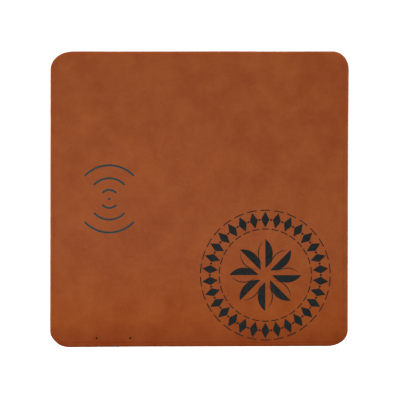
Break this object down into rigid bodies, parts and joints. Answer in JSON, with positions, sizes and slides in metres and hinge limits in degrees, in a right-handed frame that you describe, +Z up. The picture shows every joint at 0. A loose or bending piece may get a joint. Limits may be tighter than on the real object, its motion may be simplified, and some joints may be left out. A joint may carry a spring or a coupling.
{
  "type": "wireless charging desk mat",
  "caption": "Square leatherette desk mat with a wireless phone charging coil under an engraved target, two pinhole lamps and a USB-C socket at its edge.",
  "frame": {"origin": "centre of the rest face, under the middle of the square mat", "axes": "+Z up through the mat's thickness, +X to the user's right, +Y away from the user; the USB-C socket opens towards -Y and the charging spot lies on the -X side"},
  "size_m": [0.26, 0.2586, 0.0066],
  "materials": {
    "tan_film": "embossed polyurethane leatherette film",
    "dark_backing": "black woven carrier layer of the leatherette",
    "foam": "closed-cell foam",
    "fibreboard": "hard fibreboard",
    "grip_rubber": "matte non-slip sheet",
    "black_plastic": "injection-moulded",
    "graphite": "pressed graphite sheet",
    "ferrite": "sintered ferrite",
    "adhesive": "transfer tape",
    "copper_litz": "enamelled copper litz wire",
    "lead_sleeve": "insulated wire",
    "epoxy": "epoxy bead",
    "amber_film": "polyimide film",
    "bezel_plastic": "fine-grained moulding",
    "screw_steel": "zinc-plated",
    "green_laminate": "glass-epoxy laminate with solder mask",
    "chip_resin": "moulding compound",
    "ceramic": "multilayer ceramic",
    "can_steel": "stamped steel",
    "resistor_glaze": "glazed thick film",
    "lamp_resin": "moulded lamp body",
    "solder": "reflowed solder",
    "clear_resin": "dark red tinted light guide",
    "gold_plate": "gold-plated contact"
  },
  "bodies": {
    "root": {"leather_face": "tan_film", "leather_backing": "dark_backing", "padding_sheet": "foam", "core_board": "fibreboard", "base_sheet": "grip_rubber", "coil_carrier": "black_plastic", "heat_spreader": "graphite", "ferrite_plate": "ferrite", "coil_adhesive": "adhesive", "charging_coil": "copper_litz", "coil_leads": "lead_sleeve", "thermistor_leads": "lead_sleeve", "thermistor": "epoxy", "channel_filler": "foam", "coil_cover_film": "amber_film", "housing_tray": "black_plastic", "housing_lid": "black_plastic", "port_bezel": "bezel_plastic", "housing_screws": "screw_steel", "circuit_board": "green_laminate", "controller_chip": "chip_resin", "bridge_transistors": "chip_resin", "resonant_capacitors": "ceramic", "input_inductor": "ferrite", "crystal": "can_steel", "filter_capacitors": "ceramic", "resistors": "resistor_glaze", "indicator_leds": "lamp_resin", "solder_joints": "solder", "light_pipes": "clear_resin", "usb_shell": "can_steel", "usb_tongue": "bezel_plastic", "usb_contacts": "gold_plate"}
  },
  "joints": []
}
